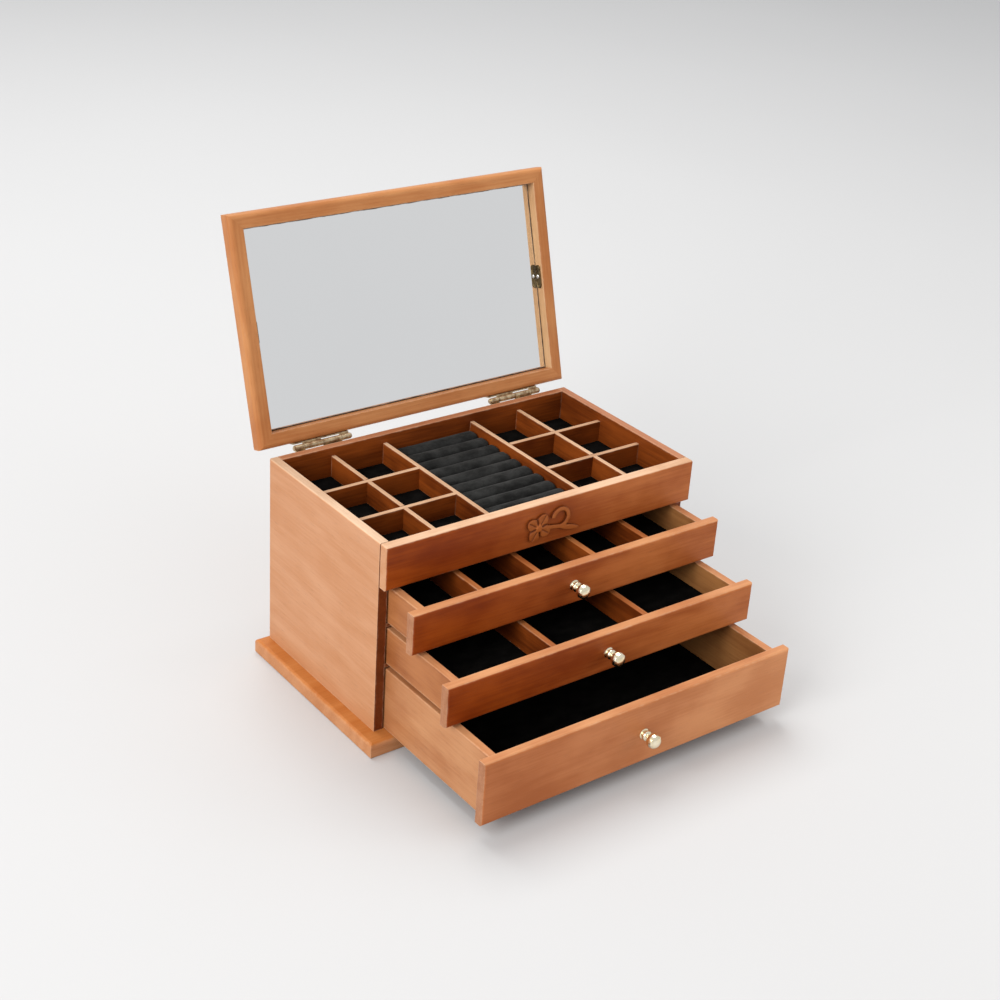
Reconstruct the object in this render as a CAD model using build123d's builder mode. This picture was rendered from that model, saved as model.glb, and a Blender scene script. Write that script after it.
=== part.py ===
from build123d import *
from math import cos, radians, sin
import os

# Jewellery box: a wooden case on a plinth, with a hinged mirror lid over a divided top tray
# and three drawers. The origin is the centre of the plinth's underside, +X is to the right
# of someone facing the drawers, -Y is the front and +Z is up. Millimetres.

os.makedirs("parts", exist_ok=True)

# ------------------------------------------------------------------ case sizes
case_width = 300.0
case_depth = 171.0
side_thickness = 8.0
back_thickness = 6.5
apron_thickness = 9.0
apron_height = 36.4
shelf_thickness = 3.2
tray_floor_thickness = 3.0
board_rounding = 1.6
edge_rounding = 0.8

# ------------------------------------------------------------------ plinth sizes
plinth_thickness = 12.6
plinth_side_overhang = 11.7
plinth_front_overhang = 5.6
plinth_back_overhang = 2.7
plinth_rounding = 3.0
plinth_lower_rounding = 1.0

# ------------------------------------------------------------------ drawer sizes
# The drawers are numbered from the top: two shallow ones and a deep one.
shallow_front_height = 34.25
deep_front_height = 54.0
drawer_front_thickness = 8.0
drawer_front_gap = 1.7
drawer_front_rounding = 2.0
drawer_board_thickness = 7.0
drawer_bottom_thickness = 3.0
drawer_groove_depth = 3.0
drawer_groove_height = 4.0
drawer_rear_clearance = 6.5
drawer_side_clearance = 1.5
drawer_slide_clearance = 0.3
drawer_top_drop = 1.5
drawer_divider_thickness = 5.5
drawer_divider_drop = 1.2
shelf_lift = 1.7
pulled_out = (37.3, 84.1, 132.7)
divider_counts = (4, 2, 0)

# ------------------------------------------------------------------ tray sizes
tray_floor_lift = 6.5
divider_thickness = 4.0
divider_drop = 7.7
divider_rounding = 0.6
ring_section_width = 84.5
ring_roll_count = 10
ring_roll_height = 11.0
ring_roll_rounding = 5.2
ring_roll_gap = 0.5
ring_board_thickness = 3.0

# ------------------------------------------------------------------ velvet sizes
liner_thickness = 1.5
liner_clearance = 0.35
liner_rounding = 0.5

# ------------------------------------------------------------------ lid sizes
lid_side_overhang = 3.75
lid_front_overhang = 14.9
lid_thickness = 14.5
lid_rail_width = 12.4
lid_rounding = 4.0
lid_rabbet_width = 5.0
lid_panel_thickness = 3.8
lid_back_overhang = 1.6
lid_gap = 0.5
lid_open_angle = 106.0
mirror_thickness = 2.2
mirror_clearance = 0.4

# ------------------------------------------------------------------ mirror clip sizes
clip_length = 20.5
clip_width = 6.4
clip_thickness = 1.2
clip_hole_radius = 1.15

# ------------------------------------------------------------------ hinge sizes
hinge_length = 52.0
hinge_inset = 52.5
outer_knuckle_length = 8.6
knuckle_gap = 0.3
barrel_radius = 2.5
barrel_behind_case = 5.57
pin_radius = 1.2
pin_clearance = 0.05
pin_head_radius = 1.9
pin_head_length = 0.8
leaf_thickness = 1.0
leaf_height = 9.0
hinge_screw_spacing = 34.0
screw_shank_radius = 0.9
countersunk_head_radius = 1.7
countersunk_head_height = 0.8
round_head_radius = 1.8
round_head_height = 0.7
screw_length = 6.0
countersink_angle = 45.0
screw_clearance = 0.1

# ------------------------------------------------------------------ knob sizes
knob_flange_radius = 4.4
knob_flange_length = 1.2
knob_collar_radius = 3.9
knob_collar_length = 5.2
knob_neck_radius = 2.4
knob_head_radius = 6.0
knob_head_length = 8.4
knob_length = 16.6
knob_screw_radius = 1.5
knob_screw_clearance = 0.1
knob_screw_depth = 6.0
knob_screw_head_radius = 3.4
knob_screw_head_length = 1.8

# ------------------------------------------------------------------ ornament sizes
ornament_relief = 2.6
petal_length = 13.6
petal_width = 10.6
petal_count = 4
petal_tilt = 12.0
petal_overlap = 1.2
flower_centre_x = -10.4
flower_height = 17.0
bud_radius = 3.0
bud_relief = 0.9
curl_centre_x = 11.0
curl_height = 21.0
curl_radius = 7.6
curl_width = 3.4
curl_sweep = 262.0
slim_leaf_centre_x = 20.0
slim_leaf_height = 10.4
slim_leaf_length = 21.0
slim_leaf_width = 4.4
slim_leaf_tilt = -14.0

# ------------------------------------------------------------------ places worked out
centre_y = (plinth_front_overhang - plinth_back_overhang) / 2
front_y = centre_y - case_depth / 2
back_y = centre_y + case_depth / 2
board_front_y = front_y + apron_thickness
inner_back_y = back_y - back_thickness
inner_half_width = case_width / 2 - side_thickness
deep_front_z = plinth_thickness + drawer_front_gap
middle_front_z = deep_front_z + deep_front_height + drawer_front_gap
top_front_z = middle_front_z + shallow_front_height + drawer_front_gap
apron_z = top_front_z + shallow_front_height + drawer_front_gap
rim_z = apron_z + apron_height
tray_floor_low = apron_z + tray_floor_lift
tray_z = tray_floor_low + tray_floor_thickness
divider_top_z = rim_z - divider_drop
drawer_box_length = inner_back_y - front_y - drawer_front_thickness - drawer_rear_clearance
lid_width = case_width + 2 * lid_side_overhang
lid_depth = case_depth + lid_front_overhang + lid_back_overhang
hinge_centre_x = case_width / 2 - hinge_inset
hinge_y = back_y + barrel_behind_case
hinge_z = rim_z + lid_gap / 2
lid_start = barrel_behind_case - lid_back_overhang
lid_underside = -lid_gap / 2
web_top = leaf_thickness - barrel_radius
leaf_low = web_top - leaf_height
leaf_middle = web_top - leaf_height / 2
swing = radians(lid_open_angle)

# Both planes start on the pins' axis: one upright for the case, one that turns with the lid.
closed_plane = Plane(origin=(0, hinge_y, hinge_z), x_dir=(1, 0, 0), z_dir=(0, 0, 1))
lid_plane = Plane(
    origin=(0, hinge_y, hinge_z),
    x_dir=(1, 0, 0),
    z_dir=(0, -sin(swing), -cos(swing)),
)
hinge_screw_places = [
    (side * hinge_centre_x + half * hinge_screw_spacing / 2, 0)
    for side in (-1, 1)
    for half in (-1, 1)
]


def leaf_face(plane, wood_y):
    """The outer face of the leaves that are screwed to the wood at wood_y on a hinge plane."""
    towards_wood = 1 if wood_y > 0 else -1
    return Plane(
        origin=plane.from_local_coords(
            Vector(0, wood_y - towards_wood * leaf_thickness, leaf_middle)
        ),
        x_dir=plane.x_dir,
        z_dir=plane.y_dir * -towards_wood,
    )


case_leaf_face = leaf_face(closed_plane, -barrel_behind_case)
lid_leaf_face = leaf_face(lid_plane, lid_start)


def top_long_edges(piece):
    """The two long edges of a board's top face."""
    return piece.faces().sort_by(Axis.Z)[-1].edges().sort_by(SortBy.LENGTH)[-2:]


def board(x_range, y_range, z_range, rounding=0.0):
    """A plain rectangular board between three pairs of limits, its top edges eased if asked."""
    x_low, x_high = x_range
    y_low, y_high = y_range
    z_low, z_high = z_range
    with BuildPart() as plain:
        with BuildSketch(Plane.XY.offset(z_low)):
            with Locations(((x_low + x_high) / 2, (y_low + y_high) / 2)):
                Rectangle(x_high - x_low, y_high - y_low)
        extrude(amount=z_high - z_low)
        if rounding > 0:
            fillet(top_long_edges(plain), radius=rounding)
    return plain.part


def finish(piece, name):
    """Label one piece and write it to its own file."""
    piece.label = name
    export_step(piece, f"parts/{name}.step")


# ------------------------------------------------------------------ plinth
plinth_half_width = case_width / 2 + plinth_side_overhang
plinth_depth = case_depth + plinth_front_overhang + plinth_back_overhang

with BuildPart() as base_plinth:
    with BuildSketch():
        Rectangle(2 * plinth_half_width, plinth_depth)
    extrude(amount=plinth_thickness)
    plinth_top = base_plinth.faces().sort_by(Axis.Z)[-1]
    fillet(plinth_top.edges(), radius=plinth_rounding)
    plinth_bottom = base_plinth.faces().sort_by(Axis.Z)[0]
    fillet(plinth_bottom.edges(), radius=plinth_lower_rounding)
finish(base_plinth.part, "base_plinth")

# ------------------------------------------------------------------ side panels
side_middle_x = inner_half_width + side_thickness / 2
side_middle_y = (board_front_y + back_y) / 2

for side, name in ((-1, "left_side_panel"), (1, "right_side_panel")):
    with BuildPart() as side_panel:
        with BuildSketch(Plane.XY.offset(plinth_thickness)):
            with Locations((side * side_middle_x, side_middle_y)):
                Rectangle(side_thickness, back_y - board_front_y)
        extrude(amount=rim_z - plinth_thickness)
        outer_face = side_panel.faces().sort_by(Axis.X)[-1 if side > 0 else 0]
        top_edge = outer_face.edges().sort_by(Axis.Z)[-1]
        back_edge = outer_face.edges().sort_by(Axis.Y)[-1]
        inner_face = side_panel.faces().sort_by(Axis.X)[0 if side > 0 else -1]
        inner_edge = inner_face.edges().sort_by(Axis.Z)[-1]
        fillet([top_edge, back_edge], radius=board_rounding)
        fillet(inner_edge, radius=edge_rounding)
    finish(side_panel.part, name)

# ------------------------------------------------------------------ back panel
with BuildPart() as back_panel:
    with BuildSketch(Plane.XY.offset(plinth_thickness)):
        with Locations((0, back_y - back_thickness / 2)):
            Rectangle(2 * inner_half_width, back_thickness)
    extrude(amount=rim_z - plinth_thickness)
    rim_edges = back_panel.faces().sort_by(Axis.Z)[-1].edges().sort_by(Axis.Y)
    fillet(rim_edges[0], radius=edge_rounding)
    # pilot holes for the hinge screws, from behind
    with BuildSketch(case_leaf_face):
        with Locations(*hinge_screw_places):
            Circle(screw_shank_radius + screw_clearance)
    extrude(amount=-(screw_length + screw_clearance), mode=Mode.SUBTRACT)
finish(back_panel.part, "back_panel")

# ------------------------------------------------------------------ front apron
with BuildPart() as front_apron:
    with BuildSketch(Plane.XY.offset(apron_z)):
        with Locations((0, front_y + apron_thickness / 2)):
            Rectangle(case_width, apron_thickness)
    extrude(amount=apron_height)
    top_back = front_apron.faces().sort_by(Axis.Z)[-1].edges().sort_by(Axis.Y)[-1]
    fillet(top_back, radius=edge_rounding)
    apron_face = front_apron.faces().sort_by(Axis.Y)[0]
    apron_top = front_apron.faces().sort_by(Axis.Z)[-1]
    fillet([*apron_face.edges(), *apron_top.edges().filter_by(Axis.Y)], radius=board_rounding)
finish(front_apron.part, "front_apron")

# ------------------------------------------------------------------ carved ornament
# A four-petalled flower beside a curled tendril that ends in a slim leaf.
face_plane = Plane(origin=(0, front_y, apron_z), x_dir=(1, 0, 0), z_dir=(0, -1, 0))
petal_reach = petal_length / 2 - petal_overlap
petal_angles = [petal_tilt + 45 + 360 / petal_count * step for step in range(petal_count)]
petal_places = [
    Location(
        (
            flower_centre_x + petal_reach * cos(radians(angle)),
            flower_height + petal_reach * sin(radians(angle)),
        ),
        angle,
    )
    for angle in petal_angles
]
with BuildPart() as carved_flower:
    with BuildSketch(face_plane):
        with Locations(*petal_places):
            Ellipse(petal_length / 2, petal_width / 2)
        # the stem leaves the flower and winds up into the curl
        with BuildLine():
            Line((flower_centre_x, flower_height), (curl_centre_x, curl_height - curl_radius))
            CenterArc((curl_centre_x, curl_height), curl_radius, -90, curl_sweep)
        trace(line_width=curl_width)
        # a slim leaf runs out from the foot of the curl
        with Locations(Location((slim_leaf_centre_x, slim_leaf_height), slim_leaf_tilt)):
            Ellipse(slim_leaf_length / 2, slim_leaf_width / 2)
    extrude(amount=ornament_relief)
    with BuildSketch(face_plane.offset(ornament_relief)):
        with Locations((flower_centre_x, flower_height)):
            Circle(bud_radius)
    extrude(amount=bud_relief)
finish(carved_flower.part, "carved_flower")

# ------------------------------------------------------------------ shelves and tray floor
inner_x = (-inner_half_width, inner_half_width)
inner_y = (board_front_y, inner_back_y)
for front_z, name in ((top_front_z, "upper_shelf"), (middle_front_z, "lower_shelf")):
    shelf_top = front_z + shelf_lift
    finish(board(inner_x, inner_y, (shelf_top - shelf_thickness, shelf_top)), name)
finish(board(inner_x, inner_y, (tray_floor_low, tray_z)), "tray_floor")

# ------------------------------------------------------------------ tray dividers
ring_divider_x = ring_section_width / 2 + divider_thickness / 2
column_x = (ring_divider_x + divider_thickness / 2 + inner_half_width) / 2
tray_row_pitch = (inner_back_y - board_front_y) / 3
cross_y = (board_front_y + tray_row_pitch, board_front_y + 2 * tray_row_pitch)
divider_half_height = (divider_top_z - tray_z) / 2
lap_clearance = 0.1

for side, word in ((-1, "left"), (1, "right")):
    middle = side * ring_divider_x
    long_x = (middle - divider_thickness / 2, middle + divider_thickness / 2)
    long_divider = board(long_x, inner_y, (tray_z, divider_top_z), divider_rounding)
    finish(long_divider, f"tray_long_divider_{word}")

    # the column divider is notched from above where the cross dividers pass over it
    with BuildPart() as column_divider:
        with BuildSketch(Plane.XY.offset(tray_z)):
            with Locations((side * column_x, (board_front_y + inner_back_y) / 2)):
                Rectangle(divider_thickness, inner_back_y - board_front_y)
        extrude(amount=divider_top_z - tray_z)
        fillet(top_long_edges(column_divider), radius=divider_rounding)
        with BuildSketch(Plane.XY.offset(divider_top_z)):
            with Locations(*[(side * column_x, y) for y in cross_y]):
                Rectangle(divider_thickness, divider_thickness + 2 * lap_clearance)
        extrude(amount=-divider_half_height, mode=Mode.SUBTRACT)
    finish(column_divider.part, f"tray_column_divider_{word}")

    # the two cross dividers are notched from below and drop onto the column divider
    cross_start = ring_divider_x + divider_thickness / 2
    cross_length = inner_half_width - cross_start
    with BuildPart() as cross_dividers:
        with BuildSketch(Plane.XY.offset(tray_z)):
            with Locations(*[(side * (cross_start + cross_length / 2), y) for y in cross_y]):
                Rectangle(cross_length, divider_thickness)
        extrude(amount=divider_top_z - tray_z)
        cross_tops = cross_dividers.faces().group_by(Axis.Z)[-1]
        fillet(cross_tops.edges().filter_by(Axis.X), radius=divider_rounding)
        with BuildSketch(Plane.XY.offset(tray_z)):
            with Locations(*[(side * column_x, y) for y in cross_y]):
                Rectangle(divider_thickness + 2 * lap_clearance, divider_thickness)
        extrude(amount=divider_half_height, mode=Mode.SUBTRACT)
    finish(cross_dividers.part, f"tray_cross_dividers_{word}")


def liner_pads(cells, floor_z, shift_y=0.0):
    """Velvet-covered cards, one in each cell of ((x_low, x_high), (y_low, y_high))."""
    with BuildPart() as pads:
        for (x_low, x_high), (y_low, y_high) in cells:
            with BuildSketch(Plane.XY.offset(floor_z)):
                with Locations(((x_low + x_high) / 2, (y_low + y_high) / 2 + shift_y)):
                    width = x_high - x_low - 2 * liner_clearance
                    length = y_high - y_low - 2 * liner_clearance
                    Rectangle(width, length)
            extrude(amount=liner_thickness)
        top_faces = pads.faces().filter_by(Plane.XY).group_by(Axis.Z)[-1]
        fillet(top_faces.edges(), radius=liner_rounding)
    return pads.part


# ------------------------------------------------------------------ tray liners
row_edges = (board_front_y, *cross_y, inner_back_y)
for side, word in ((-1, "left"), (1, "right")):
    column_edges = [
        (ring_divider_x + divider_thickness / 2, column_x - divider_thickness / 2),
        (column_x + divider_thickness / 2, inner_half_width),
    ]
    tray_cells = []
    for near, far in column_edges:
        for row in range(3):
            y_low = row_edges[row] + (divider_thickness / 2 if row > 0 else 0)
            y_high = row_edges[row + 1] - (divider_thickness / 2 if row < 2 else 0)
            tray_cells.append((tuple(sorted((side * near, side * far))), (y_low, y_high)))
    finish(liner_pads(tray_cells, tray_z), f"tray_liners_{word}")

# ------------------------------------------------------------------ ring rolls
ring_x = (-ring_section_width / 2 + ring_roll_gap, ring_section_width / 2 - ring_roll_gap)
ring_y = (board_front_y + ring_roll_gap, inner_back_y - ring_roll_gap)
ring_board_top = tray_z + ring_board_thickness
finish(board(ring_x, ring_y, (tray_z, ring_board_top)), "ring_roll_board")

roll_pitch = (ring_y[1] - ring_y[0]) / ring_roll_count
roll_width = roll_pitch - ring_roll_gap
roll_places = [
    (ring_y[0] + (index + 0.5) * roll_pitch, ring_roll_height / 2)
    for index in range(ring_roll_count)
]
roll_plane = Plane(origin=(ring_x[0], 0, ring_board_top), x_dir=(0, 1, 0), z_dir=(1, 0, 0))
with BuildPart() as ring_rolls:
    with BuildSketch(roll_plane) as roll_ends:
        with Locations(*roll_places):
            Rectangle(roll_width, ring_roll_height)
        fillet(roll_ends.vertices().group_by(Axis.Y)[-1], radius=ring_roll_rounding)
    extrude(amount=ring_x[1] - ring_x[0])
finish(ring_rolls.part, "ring_rolls")

# ------------------------------------------------------------------ drawers
drawer_half_width = inner_half_width - drawer_side_clearance
drawer_inner_half = drawer_half_width - drawer_board_thickness
deep_box_drop = drawer_front_gap - drawer_slide_clearance


def drawer_side(side, y_start, z_low, z_high):
    """One side board, with the groove that holds the bottom panel."""
    board_x = side * (drawer_half_width - drawer_board_thickness / 2)
    groove_x = side * (drawer_inner_half + drawer_groove_depth / 2)
    y_middle = y_start + drawer_box_length / 2
    with BuildPart() as piece:
        with BuildSketch(Plane.XY.offset(z_low)):
            with Locations((board_x, y_middle)):
                Rectangle(drawer_board_thickness, drawer_box_length)
        extrude(amount=z_high - z_low)
        fillet(top_long_edges(piece), radius=edge_rounding)
        with BuildSketch(Plane.XY.offset(z_low + drawer_groove_height)):
            with Locations((groove_x, y_middle)):
                Rectangle(drawer_groove_depth, drawer_box_length)
        extrude(amount=drawer_bottom_thickness, mode=Mode.SUBTRACT)
    return piece.part


def drawer_front(y_start, z_low, height, groove_z):
    """The front board, rounded on its face, grooved behind and bored for the knob's screw."""
    y_middle = y_start - drawer_front_thickness / 2
    with BuildPart() as piece:
        with BuildSketch(Plane.XY.offset(z_low)):
            with Locations((0, y_middle)):
                Rectangle(case_width, drawer_front_thickness)
        extrude(amount=height)
        face = piece.faces().sort_by(Axis.Y)[0]
        rear_edges = piece.faces().sort_by(Axis.Y)[-1].edges()
        fillet(face.edges(), radius=drawer_front_rounding)
        fillet(rear_edges, radius=edge_rounding)
        with BuildSketch(Plane.XY.offset(groove_z)):
            with Locations((0, y_start - drawer_groove_depth / 2)):
                Rectangle(2 * (drawer_inner_half + drawer_groove_depth), drawer_groove_depth)
        extrude(amount=drawer_bottom_thickness, mode=Mode.SUBTRACT)
        screw_plane = Plane(origin=(0, y_start, z_low + height / 2), x_dir=(1, 0, 0), z_dir=(0, -1, 0))
        with BuildSketch(screw_plane):
            Circle(knob_screw_radius + knob_screw_clearance)
        extrude(amount=drawer_front_thickness, mode=Mode.SUBTRACT)
        with BuildSketch(screw_plane):
            Circle(knob_screw_head_radius + knob_screw_clearance)
        extrude(amount=knob_screw_head_length, mode=Mode.SUBTRACT)
    return piece.part


def drawer_knob(face_y, centre_z):
    """A turned knob: flange, collar, neck and a larger faceted head, bored for its screw."""
    collar_middle = knob_flange_length + knob_collar_length / 2
    neck_start = knob_flange_length + knob_collar_length
    head_start = knob_length - knob_head_length
    head_middle = knob_length - knob_head_length / 2
    axis_plane = Plane(origin=(0, face_y, centre_z), x_dir=(1, 0, 0), z_dir=(0, 0, 1))
    with BuildPart() as piece:
        with BuildSketch(axis_plane):
            with BuildLine():
                Polyline(
                    (0, 0),
                    (knob_flange_radius, 0),
                    (knob_flange_radius, -knob_flange_length),
                    (knob_neck_radius, -knob_flange_length),
                )
                ThreePointArc(
                    (knob_neck_radius, -knob_flange_length),
                    (knob_collar_radius, -collar_middle),
                    (knob_neck_radius, -neck_start),
                )
                Line((knob_neck_radius, -neck_start), (knob_neck_radius, -head_start))
                ThreePointArc(
                    (knob_neck_radius, -head_start),
                    (knob_head_radius, -head_middle),
                    (knob_neck_radius, -knob_length),
                )
                Polyline((knob_neck_radius, -knob_length), (0, -knob_length), (0, 0))
            make_face()
        revolve(axis=Axis((0, face_y, centre_z), (0, 1, 0)))
        with BuildSketch(Plane(origin=(0, face_y, centre_z), x_dir=(1, 0, 0), z_dir=(0, -1, 0))):
            Circle(knob_screw_radius)
        extrude(amount=knob_screw_depth, mode=Mode.SUBTRACT)
    return piece.part


def knob_screw(back_face_y, centre_z):
    """The screw that holds a knob, driven from inside the drawer front."""
    screw_plane = Plane(origin=(0, back_face_y, centre_z), x_dir=(1, 0, 0), z_dir=(0, -1, 0))
    with BuildPart() as piece:
        with BuildSketch(screw_plane):
            Circle(knob_screw_radius)
        extrude(amount=drawer_front_thickness + knob_screw_depth)
        with BuildSketch(screw_plane):
            Circle(knob_screw_head_radius)
        extrude(amount=knob_screw_head_length)
    return piece.part


def divided_cells(count, y_low, y_high):
    """The spaces left in a drawer between a number of evenly spaced dividers."""
    pitch = (2 * drawer_inner_half + drawer_divider_thickness) / (count + 1)
    cells = []
    for index in range(count + 1):
        x_low = -drawer_inner_half + index * pitch
        cells.append(((x_low, x_low + pitch - drawer_divider_thickness), (y_low, y_high)))
    return cells


drawer_levels = (
    (top_front_z, shallow_front_height, shelf_lift + drawer_slide_clearance),
    (middle_front_z, shallow_front_height, shelf_lift + drawer_slide_clearance),
    (deep_front_z, deep_front_height, -deep_box_drop),
)
for number, (front_z, front_height, box_lift) in enumerate(drawer_levels, start=1):
    out = pulled_out[number - 1]
    face_y = front_y - out
    box_start = face_y + drawer_front_thickness
    box_end = box_start + drawer_box_length
    box_low = front_z + box_lift
    box_high = front_z + front_height - drawer_top_drop
    panel_low = box_low + drawer_groove_height
    floor_z = panel_low + drawer_bottom_thickness
    knob_z = front_z + front_height / 2
    prefix = f"drawer_{number}"

    finish(drawer_front(box_start, front_z, front_height, panel_low), f"{prefix}_front")
    finish(drawer_side(-1, box_start, box_low, box_high), f"{prefix}_left_side")
    finish(drawer_side(1, box_start, box_low, box_high), f"{prefix}_right_side")
    back_x = (-drawer_inner_half, drawer_inner_half)
    back_start = box_end - drawer_board_thickness
    back_board = board(back_x, (back_start, box_end), (floor_z, box_high), edge_rounding)
    finish(back_board, f"{prefix}_back")
    panel_half = drawer_inner_half + drawer_groove_depth - liner_clearance
    panel_x = (-panel_half, panel_half)
    panel_y = (box_start - drawer_groove_depth + liner_clearance, box_end)
    finish(board(panel_x, panel_y, (panel_low, floor_z)), f"{prefix}_bottom")

    cells = divided_cells(divider_counts[number - 1], box_start, back_start)
    finish(liner_pads(cells, floor_z), f"{prefix}_liner")
    if divider_counts[number - 1] > 0:
        neighbours = zip(cells[:-1], cells[1:])
        divider_places = [
            ((left_cell[0][1] + right_cell[0][0]) / 2, (box_start + back_start) / 2)
            for left_cell, right_cell in neighbours
        ]
        with BuildPart() as dividers:
            with BuildSketch(Plane.XY.offset(floor_z)):
                with Locations(*divider_places):
                    Rectangle(drawer_divider_thickness, back_start - box_start)
            extrude(amount=box_high - drawer_divider_drop - floor_z)
            divider_tops = dividers.faces().group_by(Axis.Z)[-1]
            fillet(divider_tops.edges().filter_by(Axis.Y), radius=edge_rounding)
        finish(dividers.part, f"{prefix}_dividers")

    finish(drawer_knob(face_y, knob_z), f"{prefix}_knob")
    finish(knob_screw(box_start, knob_z), f"{prefix}_knob_screw")

# ------------------------------------------------------------------ hinges
# Each hinge has four knuckles: the case leaf has the first and third, the lid leaf the others.
# The leaves are screwed to the back of the case and the back edge of the lid, and are cranked
# so that only the knuckles show between the two when the lid is open.
inner_knuckle_length = hinge_length / 2 - outer_knuckle_length
knuckle_starts = (
    -hinge_length / 2,
    -hinge_length / 2 + outer_knuckle_length,
    0.0,
    inner_knuckle_length,
)
knuckle_lengths = (
    outer_knuckle_length,
    inner_knuckle_length,
    inner_knuckle_length,
    outer_knuckle_length,
)


def hinge_leaf(centre_x, plane, wood_y, face, own_knuckles):
    """A cranked leaf on a hinge plane: its plate, and a web and a rolled knuckle where it turns."""
    towards_wood = 1 if wood_y > 0 else -1
    end_plane = Plane(origin=plane.origin, x_dir=plane.y_dir, z_dir=plane.x_dir)
    with BuildPart() as piece:
        with BuildSketch(plane.offset(leaf_low)):
            with Locations((centre_x, wood_y - towards_wood * leaf_thickness / 2)):
                Rectangle(hinge_length, leaf_thickness)
        extrude(amount=leaf_height)
        for index in own_knuckles:
            first = centre_x + knuckle_starts[index]
            last = first + knuckle_lengths[index]
            if index > 0:
                first += knuckle_gap / 2
            if index < 3:
                last -= knuckle_gap / 2
            with BuildSketch(plane.offset(-barrel_radius)):
                with Locations(((first + last) / 2, wood_y / 2)):
                    Rectangle(last - first, abs(wood_y))
            extrude(amount=leaf_thickness)
            with BuildSketch(end_plane.offset(first)):
                Circle(barrel_radius)
            extrude(amount=last - first)
        with BuildSketch(end_plane.offset(centre_x - hinge_length / 2)):
            Circle(pin_radius + pin_clearance)
        extrude(amount=hinge_length, mode=Mode.SUBTRACT)
        # countersunk screw holes, wide at the outer face
        hole_places = [(centre_x + half * hinge_screw_spacing / 2, 0) for half in (-1, 1)]
        with BuildSketch(face):
            with Locations(*hole_places):
                Circle(screw_shank_radius + screw_clearance)
        extrude(amount=-leaf_thickness, mode=Mode.SUBTRACT)
        with BuildSketch(face):
            with Locations(*hole_places):
                Circle(countersunk_head_radius + screw_clearance)
        extrude(amount=-countersunk_head_height, taper=countersink_angle, mode=Mode.SUBTRACT)
    return piece.part


for side, word in ((-1, "left"), (1, "right")):
    hinge_x = side * hinge_centre_x
    case_leaf = hinge_leaf(hinge_x, closed_plane, -barrel_behind_case, case_leaf_face, (0, 2))
    finish(case_leaf, f"hinge_case_leaf_{word}")
    lid_leaf = hinge_leaf(hinge_x, lid_plane, lid_start, lid_leaf_face, (1, 3))
    finish(lid_leaf, f"hinge_lid_leaf_{word}")

with BuildPart() as hinge_pins:
    pin_plane = Plane(origin=(0, hinge_y, hinge_z), x_dir=(0, 1, 0), z_dir=(1, 0, 0))
    for side in (-1, 1):
        pin_start = side * hinge_centre_x - hinge_length / 2
        with BuildSketch(pin_plane.offset(pin_start)):
            Circle(pin_radius)
        extrude(amount=hinge_length + knuckle_gap)
        with BuildSketch(pin_plane.offset(pin_start - pin_head_length)):
            Circle(pin_head_radius)
        extrude(amount=pin_head_length)
        with BuildSketch(pin_plane.offset(pin_start + hinge_length + knuckle_gap)):
            Circle(pin_head_radius)
        extrude(amount=pin_head_length)
finish(hinge_pins.part, "hinge_pins")


def hinge_screws(face):
    """Countersunk wood screws whose flat heads end at the leaves' outer face."""
    with BuildPart() as screws:
        with BuildSketch(face):
            with Locations(*hinge_screw_places):
                Circle(countersunk_head_radius)
        extrude(amount=-countersunk_head_height, taper=countersink_angle)
        with BuildSketch(face):
            with Locations(*hinge_screw_places):
                Circle(screw_shank_radius)
        extrude(amount=-screw_length)
    return screws.part


finish(hinge_screws(case_leaf_face), "case_hinge_screws")
finish(hinge_screws(lid_leaf_face), "lid_hinge_screws")

# ------------------------------------------------------------------ lid rails
lid_end = lid_start + lid_depth
lid_half_width = lid_width / 2
lid_top = lid_underside - lid_thickness
open_half_width = lid_half_width - lid_rail_width
open_start = lid_start + lid_rail_width
open_end = lid_end - lid_rail_width
outer_corners = (
    (-lid_half_width, lid_start),
    (lid_half_width, lid_start),
    (lid_half_width, lid_end),
    (-lid_half_width, lid_end),
)
opening_corners = (
    (-open_half_width, open_start),
    (open_half_width, open_start),
    (open_half_width, open_end),
    (-open_half_width, open_end),
)
clip_level = lid_top + lid_panel_thickness + mirror_thickness + clip_width / 2
panel_half_width = open_half_width + lid_rabbet_width
panel_middle = (open_start + open_end) / 2
panel_depth = open_end - open_start + 2 * lid_rabbet_width

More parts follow.
